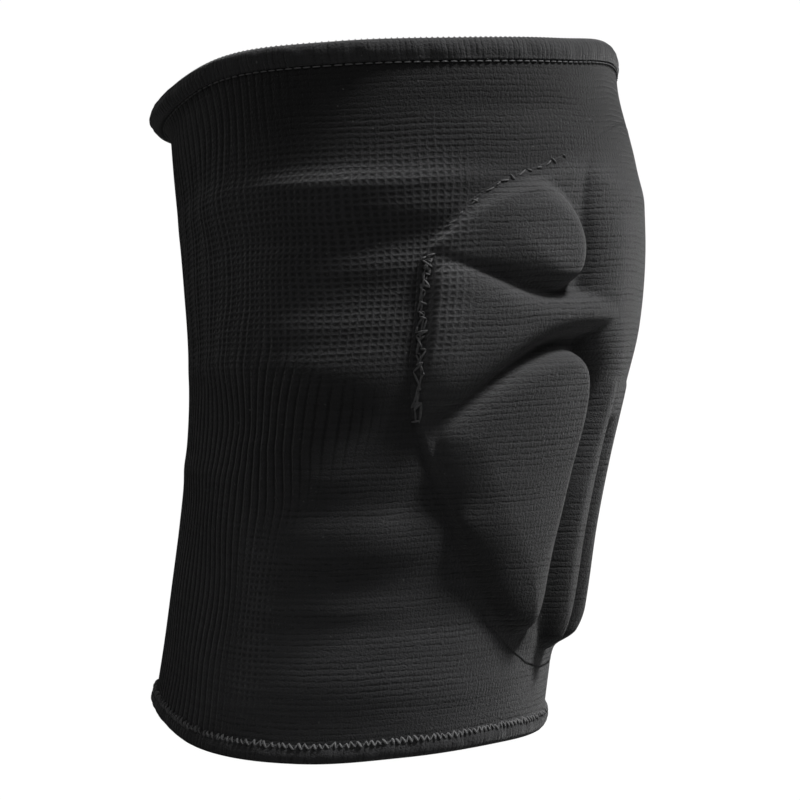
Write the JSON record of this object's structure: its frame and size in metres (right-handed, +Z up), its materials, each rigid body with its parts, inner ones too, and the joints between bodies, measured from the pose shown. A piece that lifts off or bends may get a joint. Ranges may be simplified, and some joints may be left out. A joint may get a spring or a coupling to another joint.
{
  "type": "volleyball knee pad",
  "caption": "Black knitted volleyball knee pad with a foam-padded cover over the kneecap, kept in its worn form.",
  "frame": {"origin": "middle of the knee inside the leg's hollow, level with the kneecap, at the sleeve's own mid-depth there to within 1 mm", "axes": "+Z up along the leg, from the shin to the thigh; -Y forwards, the way the kneecap faces; -X to the wearer's right; the part is symmetric about X = 0"},
  "size_m": [0.1334, 0.1496, 0.2053],
  "materials": {
    "knit": "matte ribbed elastic knit",
    "cover_knit": "matte fine knit",
    "hem_knit": "matte rolled knit with overlock thread",
    "foam": "matte closed-cell foam"
  },
  "bodies": {
    "root": {"sleeve": "knit", "front_cover": "cover_knit", "kneecap_pad": "foam", "upper_side_pad_right": "foam", "lower_side_pad_right": "foam", "upper_side_pad_left": "foam", "lower_side_pad_left": "foam", "top_hem": "hem_knit", "bottom_hem": "hem_knit"}
  },
  "joints": []
}
